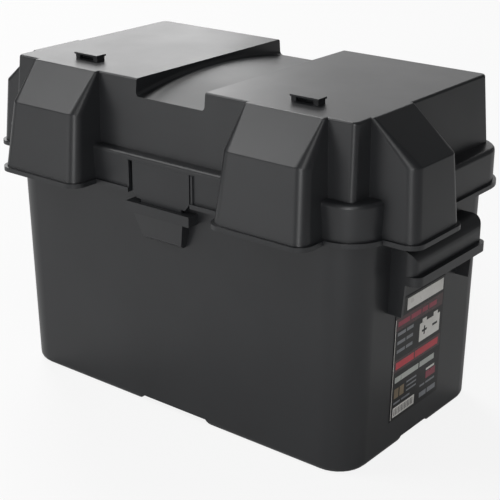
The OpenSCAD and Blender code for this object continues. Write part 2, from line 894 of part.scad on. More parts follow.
// A plate group: plates stacked along the cell, joined by a bus bar along their lugs
module plates(cell, polarity) {
    side = polarity * positive_side(cell);
    n = polarity > 0 ? plates_per_cell : plates_per_cell + 1;
    first = polarity > 0 ? 1 : 0;
    edge = plate_pitch / 2;
    plate_lug_w = 12;
    color(polarity > 0 ? plate_color : "#6b7076")
        on_centre()
            translate([cell_x(cell) - cell_len / 2, 0, 0]) {
                for (k = [0 : n - 1])
                    translate([edge + (first + 2 * k) * plate_pitch - plate_t / 2, 0, plates_bottom_z]) {
                        translate([0, -plate_half_y, 0])
                            cube([plate_t, 2 * plate_half_y, plates_top_z - plates_bottom_z]);
                        translate([0, side * bus_y - plate_lug_w / 2, 0])
                            cube([plate_t, plate_lug_w, plates_top_z - plates_bottom_z + lug_h + 1]);
                    }
                translate([edge - plate_t / 2, side * bus_y - bus_w / 2, plates_top_z + lug_h])
                    cube([cell_len - 2 * edge + plate_t, bus_w, bus_h]);
            }
}

module separators(cell) {
    n = 2 * plates_per_cell;
    color("#d8d4c6")
        on_centre()
            for (k = [0 : n - 1])
                translate([
                    cell_x(cell) - cell_len / 2 + (k + 1) * plate_pitch - separator_t / 2,
                    -plate_half_y - 1, plates_bottom_z
                ])
                    cube([separator_t, 2 * plate_half_y + 2, plates_top_z - plates_bottom_z + 3]);
}

// Links through the partitions, from one cell's positive bar to the next cell's negative bar
module cell_connectors() {
    foot_t = 4;
    foot_x = partition_t / 2 + fit_gap + foot_t / 2;
    color(lead_color)
        on_centre()
            for (i = [0 : cell_count - 2])
                translate([cell_x(i) + cell_pitch / 2, positive_side(i) * bus_y, bus_top_z]) {
                    for (s = [-1, 1])
                        translate([s * foot_x - foot_t / 2, -bus_w / 2, 0])
                            cube([foot_t, bus_w, 2 * link_z]);
                    translate([-partition_t, 0, link_z])
                        rotate([0, 90, 0])
                            cylinder(d = link_d, h = 2 * partition_t, $fn = 32);
                }
}

module carry_strap() {
    hx = 60;
    color("#1d1e20")
        on_centre()
            translate([0, -battery_wid / 2 + 22, battery_cover_z])
                rotate([90, 0, 0])
                    linear_extrude(strap_w, center = true)
                        polygon([
                            [-hx - 14, 0.3], [-hx, 0.3], [-hx + 12, 6], [hx - 12, 6], [hx, 0.3],
                            [hx + 14, 0.3],
                            [hx + 14, 2.8], [hx + 1, 2.8], [hx - 11, 8.5], [-hx + 11, 8.5], [-hx - 1, 2.8],
                            [-hx - 14, 2.8]
                        ]);
}

box_tub();
lid_shell();
snap_tab(-1);  // front_snap_tab
snap_tab(1);  // rear_snap_tab
end_label();
battery_case();
battery_cover();
carry_strap();
vent_cap(0);  // vent_cap_left
vent_cap(3);  // vent_cap_right
cap_seals(0);  // cap_seals_left
cap_seals(3);  // cap_seals_right
bushing(1);  // positive_bushing
bushing(-1);  // negative_bushing
post(1, post_d);  // positive_post
post(-1, post_d - 1.5);  // negative_post
stud(1);  // positive_stud
stud(-1);  // negative_stud
nut(1);  // positive_nut
nut(-1);  // negative_nut
washer(1);  // positive_washer
washer(-1);  // negative_washer
cell_connectors();
plates(0, 1);  // cell_1_positive_plates
plates(1, 1);  // cell_2_positive_plates
plates(2, 1);  // cell_3_positive_plates
plates(3, 1);  // cell_4_positive_plates
plates(4, 1);  // cell_5_positive_plates
plates(5, 1);  // cell_6_positive_plates
plates(0, -1);  // cell_1_negative_plates
plates(1, -1);  // cell_2_negative_plates
plates(2, -1);  // cell_3_negative_plates
plates(3, -1);  // cell_4_negative_plates
plates(4, -1);  // cell_5_negative_plates
plates(5, -1);  // cell_6_negative_plates
separators(0);  // cell_1_separators
separators(1);  // cell_2_separators
separators(2);  // cell_3_separators
separators(3);  // cell_4_separators
separators(4);  // cell_5_separators
separators(5);  // cell_6_separators
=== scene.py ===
"""Looks of a snap-top battery box with a flooded deep cycle battery inside it.

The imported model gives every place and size, in metres: +X along the box, -Y the side with the
two cable hoods, +Z up. Moulded shells are fine copies of the CAD solids with softened edges.
The rest is built here, on the boxes of the CAD nodes it stands for.
"""

import logging
import math
from dataclasses import dataclass
from enum import Enum
from typing import Callable, Iterable, Sequence

import bmesh
import bpy
from mathutils import Matrix, Vector

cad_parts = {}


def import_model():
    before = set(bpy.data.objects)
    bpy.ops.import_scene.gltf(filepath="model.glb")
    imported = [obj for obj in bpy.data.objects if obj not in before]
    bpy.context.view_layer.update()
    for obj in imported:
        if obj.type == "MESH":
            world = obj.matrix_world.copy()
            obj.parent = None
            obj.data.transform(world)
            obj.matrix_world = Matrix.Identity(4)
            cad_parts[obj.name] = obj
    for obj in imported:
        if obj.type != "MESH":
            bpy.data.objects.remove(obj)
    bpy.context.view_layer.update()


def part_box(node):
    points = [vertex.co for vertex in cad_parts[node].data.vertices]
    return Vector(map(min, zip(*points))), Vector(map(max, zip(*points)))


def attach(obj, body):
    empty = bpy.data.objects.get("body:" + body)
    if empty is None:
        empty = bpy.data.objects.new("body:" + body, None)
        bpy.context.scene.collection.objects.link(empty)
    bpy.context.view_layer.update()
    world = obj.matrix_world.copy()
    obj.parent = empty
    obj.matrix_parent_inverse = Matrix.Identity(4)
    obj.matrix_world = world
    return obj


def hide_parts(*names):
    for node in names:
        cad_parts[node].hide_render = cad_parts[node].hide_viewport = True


LOG = logging.getLogger("battery_box")
MM = 0.001
# The six faces of a block whose corners run round its foot and then round its top.
BLOCK_FACES = ((3, 2, 1, 0), (4, 5, 6, 7), (0, 1, 5, 4), (1, 2, 6, 5), (2, 3, 7, 6), (3, 0, 4, 7))
# A printed patch: its left edge, lower edge, width and height, in mm.
Patch = tuple[float, float, float, float]


# ---------------------------------------------------------------- colour and node helpers


def linear(colour: str) -> tuple[float, float, float, float]:
    """Turns an sRGB hex colour into linear RGBA.

    Args:
        colour: six hex digits, with or without a leading #.

    Returns:
        Linear red, green, blue and an alpha of one.
    """
    digits = colour.lstrip("#")
    channels = [int(digits[i:i + 2], 16) / 255 for i in (0, 2, 4)]
    straight = [c / 12.92 if c <= 0.04045 else ((c + 0.055) / 1.055) ** 2.4 for c in channels]
    return (straight[0], straight[1], straight[2], 1.0)


def add_node(
    tree: bpy.types.NodeTree,
    kind: str,
    settings: dict[str, object] | None = None,
    links: dict[str | int, object] | None = None,
) -> bpy.types.Node:
    """Adds one node with its settings, its input values and its links.

    Args:
        tree: the shader or geometry tree that gets the node.
        kind: the node's Blender type name.
        settings: properties set on the node itself.
        links: input name or index, and what goes in: an output socket or a plain value.

    Returns:
        The new node.
    """
    node = tree.nodes.new(kind)
    for name, value in (settings or {}).items():
        setattr(node, name, value)
    for name, value in (links or {}).items():
        if isinstance(value, bpy.types.NodeSocket):
            tree.links.new(value, node.inputs[name])
        else:
            node.inputs[name].default_value = value
    return node


# ---------------------------------------------------------------- finishes


class Polarity(Enum):
    """Which pole of the battery a piece belongs to."""

    POSITIVE = "positive"
    NEGATIVE = "negative"


@dataclass(frozen=True)
class Finish:
    """A finish made of one base colour, a slow colour drift and a fine surface grain.

    Attributes:
        name: the material's common name and how its surface was made.
        colour: the main sRGB colour.
        drift: the sRGB colour that the slow variation leans to.
        roughness: the shader's middle roughness.
        rough_span: how far the roughness wanders either way.
        grain_mm: the size of the surface grain.
        grain_depth_mm: how deep that grain is.
        metallic: 1 for bare metal.
        ior: index of refraction, where it isn't the default.
        drift_mm: the size of the slow variation.
        coat: weight of a clear coat.
        sheen: weight of a soft sheen.
    """

    name: str
    colour: str
    drift: str
    roughness: float
    rough_span: float
    grain_mm: float
    grain_depth_mm: float
    metallic: float = 0.0
    ior: float = 1.5
    drift_mm: float = 60.0
    coat: float = 0.0
    sheen: float = 0.0

    def material(self) -> bpy.types.Material:
        """Returns the finish as a material, made on first use."""
        found = bpy.data.materials.get(self.name)
        if found is not None:
            return found
        made = bpy.data.materials.new(self.name)
        made.use_nodes = True
        tree = made.node_tree
        tree.nodes.clear()
        where = add_node(tree, "ShaderNodeTexCoord").outputs["Object"]
        colour = self.colour_socket(tree, where)
        grain = self.grain_socket(tree, where)
        smear = add_node(tree, "ShaderNodeTexNoise", {"noise_dimensions": "3D"}, {
            "Vector": where, "Scale": 1 / (self.drift_mm * 0.35 * MM), "Detail": 3.0, "Roughness": 0.55,
        })
        rough = add_node(tree, "ShaderNodeMapRange", None, {
            "Value": smear.outputs["Fac"], "From Min": 0.3, "From Max": 0.7,
            "To Min": self.roughness - self.rough_span, "To Max": self.roughness + self.rough_span,
        })
        bump = add_node(tree, "ShaderNodeBump", None, {
            "Height": grain, "Distance": self.grain_depth_mm * MM, "Strength": 1.0,
        })
        shader = add_node(tree, "ShaderNodeBsdfPrincipled", None, {
            "Base Color": colour, "Roughness": rough.outputs["Result"], "Normal": bump.outputs["Normal"],
            "Metallic": self.metallic, "IOR": self.ior, "Coat Weight": self.coat, "Sheen Weight": self.sheen,
        })
        add_node(tree, "ShaderNodeOutputMaterial", None, {"Surface": shader.outputs["BSDF"]})
        return made

    def colour_socket(self, tree: bpy.types.NodeTree, where: bpy.types.NodeSocket) -> bpy.types.NodeSocket:
        """Gives the socket that carries the surface colour.

        Args:
            tree: the material's node tree.
            where: object coordinates.

        Returns:
            A colour output.
        """
        slow = add_node(tree, "ShaderNodeTexNoise", {"noise_dimensions": "3D"}, {
            "Vector": where, "Scale": 1 / (self.drift_mm * MM), "Detail": 4.0, "Roughness": 0.6,
        })
        ramp = add_node(tree, "ShaderNodeMapRange", None, {
            "Value": slow.outputs["Fac"], "From Min": 0.35, "From Max": 0.65,
        })
        mix = add_node(tree, "ShaderNodeMix", {"data_type": "RGBA"}, {
            0: ramp.outputs["Result"], 6: linear(self.colour), 7: linear(self.drift),
        })
        return mix.outputs[2]

    def grain_socket(self, tree: bpy.types.NodeTree, where: bpy.types.NodeSocket) -> bpy.types.NodeSocket:
        """Gives the socket that carries the height of the fine grain.

        Args:
            tree: the material's node tree.
            where: object coordinates.

        Returns:
            A value output between 0 and 1.
        """
        fine = add_node(tree, "ShaderNodeTexNoise", {"noise_dimensions": "3D"}, {
            "Vector": where, "Scale": 1 / (self.grain_mm * MM), "Detail": 2.0, "Roughness": 0.5,
        })
        return fine.outputs["Fac"]


@dataclass(frozen=True)
class TurnedMetal(Finish):
    """Metal turned on a lathe or rolled, with fine rings of tool marks up its height."""

    def grain_socket(self, tree: bpy.types.NodeTree, where: bpy.types.NodeSocket) -> bpy.types.NodeSocket:
        """Gives tool marks that repeat up the piece, one every grain_mm."""
        squeeze = add_node(tree, "ShaderNodeMapping", None, {
            "Vector": where, "Scale": (20.0, 20.0, 1 / (self.grain_mm * MM)),
        })
        marks = add_node(tree, "ShaderNodeTexNoise", {"noise_dimensions": "3D"}, {
            "Vector": squeeze.outputs["Vector"], "Scale": 1.0, "Detail": 3.0, "Roughness": 0.7,
        })
        return marks.outputs["Fac"]


@dataclass(frozen=True)
class PastedPlate(Finish):
    """Active paste pressed into a cast lead grid, whose bars show through as low ridges."""

    bar_mm: float = 8.0

    def grain_socket(self, tree: bpy.types.NodeTree, where: bpy.types.NodeSocket) -> bpy.types.NodeSocket:
        """Gives the grid's bars, one every bar_mm, with the paste's own roughness on top."""
        bars = add_node(tree, "ShaderNodeTexBrick", {"offset": 0.5}, {
            "Vector": add_node(tree, "ShaderNodeMapping", None, {
                "Vector": where, "Rotation": (0.0, math.radians(90), math.radians(90)),
            }).outputs["Vector"],
            "Scale": 1 / (self.bar_mm * MM), "Mortar Size": 0.08, "Brick Width": 1.0, "Row Height": 0.6,
        })
        fine = add_node(tree, "ShaderNodeTexNoise", {"noise_dimensions": "3D"}, {
            "Vector": where, "Scale": 1 / (self.grain_mm * MM), "Detail": 4.0, "Roughness": 0.6,
        })
        both = add_node(tree, "ShaderNodeMath", {"operation": "MULTIPLY_ADD"}, {
            0: bars.outputs["Fac"], 1: 0.8, 2: fine.outputs["Fac"],
        })
        return both.outputs["Value"]


# Polypropylene, injection moulded in a satin tool: black right through, soft broad highlights.
BOX_PLASTIC = Finish(
    "moulded_black_polypropylene", "#1e1f21", "#222325", 0.38, 0.012, 0.9, 0.012, ior=1.49, drift_mm=90,
)
# The same plastic in a plainer tool: duller, with a coarser grain.
CASE_PLASTIC = Finish(
    "moulded_black_battery_case", "#1a1b1d", "#222326", 0.48, 0.05, 0.7, 0.03, ior=1.49, drift_mm=70,
)
# Yellow polypropylene caps, moulded: bright, drifting slowly to a deeper yellow.
CAP_PLASTIC = Finish(
    "moulded_yellow_polypropylene", "#d8a616", "#c49410", 0.42, 0.05, 0.6, 0.03, ior=1.49, drift_mm=30,
)
# Low density polyethylene strap, extruded: waxy, with a slight sheen.
STRAP_PLASTIC = Finish(
    "extruded_black_polyethylene", "#17181a", "#202124", 0.50, 0.05, 0.5, 0.03, ior=1.51, drift_mm=25,
)
# Nitrile rubber rings, moulded: matte and very dark.
SEAL_RUBBER = Finish(
    "moulded_nitrile_rubber", "#141414", "#1c1c1c", 0.65, 0.05, 0.4, 0.03, ior=1.52, drift_mm=12,
)
# Lead alloy, cast: dull grey, mottled where it has oxidised.
CAST_LEAD = Finish(
    "cast_lead_alloy", "#85888d", "#6b6e74", 0.52, 0.09, 1.2, 0.08, metallic=1.0, drift_mm=9,
)
# Stainless steel, turned and threaded: bright with fine rings.
STAINLESS = TurnedMetal(
    "turned_stainless_steel", "#c2c3c4", "#aeafb1", 0.28, 0.05, 0.25, 0.02, metallic=1.0, drift_mm=8,
)
# Lead dioxide paste on a cast grid: chocolate brown and powdery.
POSITIVE_PASTE = PastedPlate(
    "pressed_lead_dioxide_paste", "#4a2c20", "#5b3a2a", 0.82, 0.05, 0.8, 0.25, drift_mm=14,
)
# Sponge lead paste on a cast grid: slate grey, with a faint metal gleam.
NEGATIVE_PASTE = PastedPlate(
    "pressed_sponge_lead_paste", "#5f656b", "#4f545a", 0.62, 0.08, 0.8, 0.2, metallic=0.35, drift_mm=14,
)
# Porous polyethylene separator with a glass mat: chalky off-white.
SEPARATOR_SHEET = Finish(
    "porous_polyethylene_sheet", "#cdc8b8", "#bdb7a4", 0.78, 0.05, 0.9, 0.06, drift_mm=20, sheen=0.2,
)
# Printed vinyl film: smooth, a little glossier than the box it sticks to.
LABEL_BLACK = Finish("printed_vinyl_black", "#060607", "#09090a", 0.34, 0.03, 1.5, 0.004, ior=1.38, drift_mm=40)
LABEL_WHITE = Finish("printed_vinyl_white", "#dcdad6", "#cfcdc8", 0.30, 0.03, 1.5, 0.004, drift_mm=25)
LABEL_PALE = Finish("printed_vinyl_pale_grey", "#b4b8b2", "#a6aaa5", 0.30, 0.03, 1.5, 0.004, drift_mm=25)
LABEL_TAN = Finish("printed_vinyl_tan", "#7a6a50", "#6d5e47", 0.30, 0.03, 1.5, 0.004, drift_mm=25)
LABEL_RED = Finish("printed_vinyl_red", "#8f1f3a", "#7d1a32", 0.30, 0.03, 1.5, 0.004, drift_mm=25)
LABEL_BRIGHT_RED = Finish("printed_vinyl_bright_red", "#c42436", "#b31f30", 0.30, 0.03, 1.5, 0.004, drift_mm=25)
LABEL_DARK_RED = Finish("printed_vinyl_dark_red", "#3a0b12", "#300910", 0.28, 0.03, 1.5, 0.004, drift_mm=25)
LABEL_GREY = Finish("printed_vinyl_grey", "#7c7f83", "#6c6f73", 0.30, 0.03, 1.5, 0.004, drift_mm=25)


# ---------------------------------------------------------------- mesh helpers


def link_mesh(name: str, mesh: bpy.types.Mesh, finish: Finish) -> bpy.types.Object:
    """Puts a mesh into the scene under a name, with one finish.

    Args:
        name: the piece's name.
        mesh: its mesh, in place, in metres.
        finish: what it is made of.

    Returns:
        The new object, at the origin.
    """
    mesh.name = name
    mesh.materials.clear()
    mesh.materials.append(finish.material())
    piece = bpy.data.objects.new(name, mesh)
    bpy.context.scene.collection.objects.link(piece)
    return piece


def baked(piece: bpy.types.Object) -> bpy.types.Object:
    """Turns a piece's modifiers into plain mesh and removes them.

    Args:
        piece: an object at the origin.

    Returns:
        The same object.
    """
    graph = bpy.context.evaluated_depsgraph_get()
    result = bpy.data.meshes.new_from_object(piece.evaluated_get(graph), depsgraph=graph)
    piece.modifiers.clear()
    result.name = piece.data.name
    piece.data = result
    return piece


def soften(
    piece: bpy.types.Object, width_mm: float, segments: int = 2, angle_deg: float = 35.0,
    keep: Callable[[Vector], bool] | None = None,
) -> None:
    """Rounds a piece's edges with a bevel and evens out its normals, then bakes both.

    Args:
        piece: the object to finish.
        width_mm: the bevel's width.
        segments: rows of faces across the bevel.
        angle_deg: only edges sharper than this are rounded.
        keep: says, from the middle of an edge, whether that edge stays sharp.
    """
    work = bmesh.new()
    work.from_mesh(piece.data)
    weight = work.edges.layers.float.new("bevel_weight_edge")
    for edge in work.edges:
        if len(edge.link_faces) != 2 or edge.calc_face_angle(0.0) < math.radians(angle_deg):
            continue
        middle = (edge.verts[0].co + edge.verts[1].co) / 2
        if keep is None or not keep(middle):
            edge[weight] = 1.0
        else:
            edge.smooth = False
    work.to_mesh(piece.data)
    work.free()
    bevel = piece.modifiers.new("soft_edges", "BEVEL")
    bevel.width = width_mm * MM
    bevel.segments = segments
    bevel.limit_method = "WEIGHT"
    bevel.miter_outer = "MITER_ARC"
    bevel.use_clamp_overlap = True
    even = piece.modifiers.new("even_normals", "WEIGHTED_NORMAL")
    even.keep_sharp = True
    even.weight = 100
    for face in piece.data.polygons:
        face.use_smooth = True
    baked(piece)


def clean_copy(
    node: str, flat_deg: float = 0.4, join_mm: float = 0.004, sliver_mm: float = 0.05,
) -> bpy.types.Mesh:
    """Copies a CAD node's mesh, joins its loose triangles and clears the edges on flat faces.

    Args:
        node: the CAD node's name.
        flat_deg: faces that meet at less than this are one face.
        join_mm: corners closer than this are one corner.
        sliver_mm: faces narrower than this are removed once the flats are whole.

    Returns:
        A new mesh with whole faces.
    """
    work = bmesh.new()
    work.from_mesh(bpy.data.objects[node].data)
    bmesh.ops.remove_doubles(work, verts=work.verts, dist=join_mm * MM)
    bmesh.ops.dissolve_degenerate(work, edges=work.edges, dist=0.01 * MM)
    bmesh.ops.dissolve_limit(
        work, angle_limit=math.radians(flat_deg), verts=work.verts, edges=work.edges,
    )
    bmesh.ops.dissolve_degenerate(work, edges=work.edges, dist=sliver_mm * MM)
    mesh = bpy.data.meshes.new(node + "_copy")
    work.to_mesh(mesh)
    work.free()
    return mesh


def stand_for(
    piece: bpy.types.Object, body: str, nodes: Sequence[str] = (),
) -> bpy.types.Object:
    """Makes a finished piece ride on a body and stand for CAD nodes.

    Args:
        piece: the object.
        body: the CAD body that it rides on.
        nodes: the CAD nodes that it replaces.

    Returns:
        The same object.
    """
    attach(piece, body)
    if nodes:
        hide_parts(*nodes)
    LOG.info("%s: %d faces on %s", piece.name, len(piece.data.polygons), body)
    return piece


def blocks_mesh(blocks: Sequence[tuple[Vector, Vector]]) -> bpy.types.Mesh:
    """Makes one mesh of separate upright blocks.

    Args:
        blocks: the lowest and highest corner of each block, in metres.

    Returns:
        A mesh with six faces for each block, all facing outwards.
    """
    verts: list[tuple[float, float, float]] = []
    faces: list[tuple[int, int, int, int]] = []
    for low, high in blocks:
        first = len(verts)
        for z in (low.z, high.z):
            verts += [(low.x, low.y, z), (high.x, low.y, z), (high.x, high.y, z), (low.x, high.y, z)]
        for ring in BLOCK_FACES:
            faces.append(tuple(first + corner for corner in ring))
    mesh = bpy.data.meshes.new("blocks")
    mesh.from_pydata(verts, [], faces)
    return mesh


def turned_mesh(profile: Sequence[tuple[float, float]], centre: Vector, sides: int = 48) -> bpy.types.Mesh:
    """Turns a profile round an upright line, as on a lathe.

    Args:
        profile: radius and height of each ring from the bottom up, in mm above the centre.
        centre: the point on the floor of the profile, in metres.
        sides: faces round the piece.

    Returns:
        A closed mesh.
    """
    work = bmesh.new()
    rings = []
    for radius, height in profile:
        rings.append([
            work.verts.new(centre + MM * Vector((
                radius * math.cos(math.tau * k / sides), radius * math.sin(math.tau * k / sides), height,
            )))
            for k in range(sides)
        ])
    for lower, upper in zip(rings, rings[1:]):
        for k in range(sides):
            after = (k + 1) % sides
            work.faces.new((lower[k], lower[after], upper[after], upper[k]))
    work.faces.new(list(reversed(rings[0])))
    work.faces.new(rings[-1])
    mesh = bpy.data.meshes.new("turned")
    work.to_mesh(mesh)
    work.free()
    return mesh


# ---------------------------------------------------------------- repeated shapes


class Repeat(Enum):
    """What a geometry node tree repeats."""

    BLOCKS = "row_of_blocks"
    DISCS = "row_of_discs"
    THREAD = "screw_thread"


@dataclass
class RepeatTree:
    """A geometry node tree that makes a row of blocks or discs, or a screw thread.

    A row's inputs are Count, Start, Step and Size; a thread's are Turns, Radius, Height and Wire.
    """

    kind: Repeat
    tree: bpy.types.NodeTree | None = None
    disc_sides: int = 40
    steps_per_turn: int = 28
    ridge_sides: int = 6

    def add_input(self, name: str, socket: str) -> None:
        """Adds a named input to the tree."""
        self.tree.interface.new_socket(name=name, in_out="INPUT", socket_type=socket)

    def build(self) -> bpy.types.NodeTree:
        """Builds the tree on first use.

        Returns:
            The tree, which ends in Realize Instances and Set Material.
        """
        found = bpy.data.node_groups.get(self.kind.value)
        if found is not None:
            self.tree = found
            return found
        self.tree = bpy.data.node_groups.new(self.kind.value, "GeometryNodeTree")
        self.tree.interface.new_socket(name="Geometry", in_out="OUTPUT", socket_type="NodeSocketGeometry")
        shape = self.thread() if self.kind is Repeat.THREAD else self.row()
        realised = add_node(self.tree, "GeometryNodeRealizeInstances", None, {0: shape})
        self.add_input("Finish", "NodeSocketMaterial")
        dressed = add_node(self.tree, "GeometryNodeSetMaterial", None, {
            "Geometry": realised.outputs[0], "Material": self.group_input("Finish"),
        })
        add_node(self.tree, "NodeGroupOutput", None, {0: dressed.outputs[0]})
        return self.tree

    def group_input(self, name: str) -> bpy.types.NodeSocket:
        """Gives the socket of one of the tree's own inputs."""
        return add_node(self.tree, "NodeGroupInput").outputs[name]

    def row(self) -> bpy.types.NodeSocket:
        """Builds the nodes of a row.

        Returns:
            The geometry output of the row.
        """
        for name, socket in (
            ("Count", "NodeSocketInt"), ("Start", "NodeSocketVector"), ("Step", "NodeSocketVector"),
            ("Size", "NodeSocketVector"),
        ):
            self.add_input(name, socket)
        places = add_node(self.tree, "GeometryNodeMeshLine", {"mode": "OFFSET"}, {
            "Count": self.group_input("Count"), "Start Location": self.group_input("Start"),
            "Offset": self.group_input("Step"),
        })
        if self.kind is Repeat.BLOCKS:
            shape = add_node(self.tree, "GeometryNodeMeshCube", None, {"Size": self.group_input("Size")})
        else:
            split = add_node(self.tree, "ShaderNodeSeparateXYZ", None, {0: self.group_input("Size")})
            shape = add_node(self.tree, "GeometryNodeMeshCylinder", None, {
                "Vertices": self.disc_sides, "Radius": split.outputs[0], "Depth": split.outputs[2],
            })
        copies = add_node(self.tree, "GeometryNodeInstanceOnPoints", None, {
            "Points": places.outputs[0], "Instance": shape.outputs[0],
        })
        return copies.outputs[0]

    def thread(self) -> bpy.types.NodeSocket:
        """Builds the nodes of a thread: a ridge that winds up a shank.

        Returns:
            The geometry output of the thread.
        """
        for name in ("Turns", "Radius", "Height", "Wire"):
            self.add_input(name, "NodeSocketFloat")
        path = add_node(self.tree, "GeometryNodeCurveSpiral", None, {
            "Resolution": self.steps_per_turn, "Rotations": self.group_input("Turns"),
            "Start Radius": self.group_input("Radius"), "End Radius": self.group_input("Radius"),
            "Height": self.group_input("Height"),
        })
        ridge = add_node(self.tree, "GeometryNodeCurvePrimitiveCircle", {"mode": "RADIUS"}, {
            "Resolution": self.ridge_sides, "Radius": self.group_input("Wire"),
        })
        swept = add_node(self.tree, "GeometryNodeCurveToMesh", None, {
            "Curve": path.outputs[0], "Profile Curve": ridge.outputs[0], "Fill Caps": True,
        })
        return swept.outputs[0]

    def make(self, name: str, values: dict[str, object], finish: Finish) -> bpy.types.Object:
        """Runs the tree once and keeps the result as a plain mesh.

        Args:
            name: the new piece's name.
            values: each input's value, in metres.
            finish: what the piece is made of.

        Returns:
            The piece, with no modifier on it.
        """
        tree = self.build()
        piece = link_mesh(name, bpy.data.meshes.new(name), finish)
        repeat = piece.modifiers.new("repeat", "NODES")
        repeat.node_group = tree
        identifiers = {item.name: item.identifier for item in tree.interface.items_tree}
        for key, value in {**values, "Finish": finish.material()}.items():
            repeat[identifiers[key]] = value
        return baked(piece)


def move_mesh(piece: bpy.types.Object, by: Vector) -> bpy.types.Object:
    """Moves a piece's mesh, and leaves its object at the origin."""
    piece.data.transform(Matrix.Translation(by))
    return piece


# ---------------------------------------------------------------- the moulded box


@dataclass
class MouldedBox:
    """The tub, the lid and the two snap tabs, all moulded in the same black plastic."""

    tub_edge_mm: float = 0.7
    lid_edge_mm: float = 0.5
    tab_edge_mm: float = 0.4
    root_gap_mm: float = 0.3

    def build(self) -> None:
        """Builds every moulding."""
        for node, name, body, width in (
            ("box_tub", "tub_moulding", "box", self.tub_edge_mm),
            ("lid_shell", "lid_moulding", "lid", self.lid_edge_mm),
            ("front_snap_tab", "front_tab_moulding", "front_tab", self.tab_edge_mm),
            ("rear_snap_tab", "rear_tab_moulding", "rear_tab", self.tab_edge_mm),
        ):
            piece = link_mesh(name, clean_copy(node), BOX_PLASTIC)
            if body.endswith("_tab"):
                self.close_root(piece, node)
            soften(piece, width, keep=self.at_tab_root)
            stand_for(piece, body, [node])

    def at_tab_root(self, place: Vector) -> bool:
        """Says whether an edge lies where a snap tab grows out of the lid."""
        low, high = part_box("front_snap_tab")
        return abs(place.z - high[2]) < 2 * self.root_gap_mm * MM and abs(place.x) < high[0] + 3 * MM

    def close_root(self, piece: bpy.types.Object, node: str) -> None:
        """Raises a tab's top edge until it meets the lid that it is moulded in one with.

        Args:
            piece: the tab's visible piece.
            node: the CAD node that it copies.
        """
        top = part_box(node)[1][2]
        for vert in piece.data.vertices:
            if vert.co.z > top - 0.01 * MM:
                vert.co.z = top + self.root_gap_mm * MM


# ---------------------------------------------------------------- the label


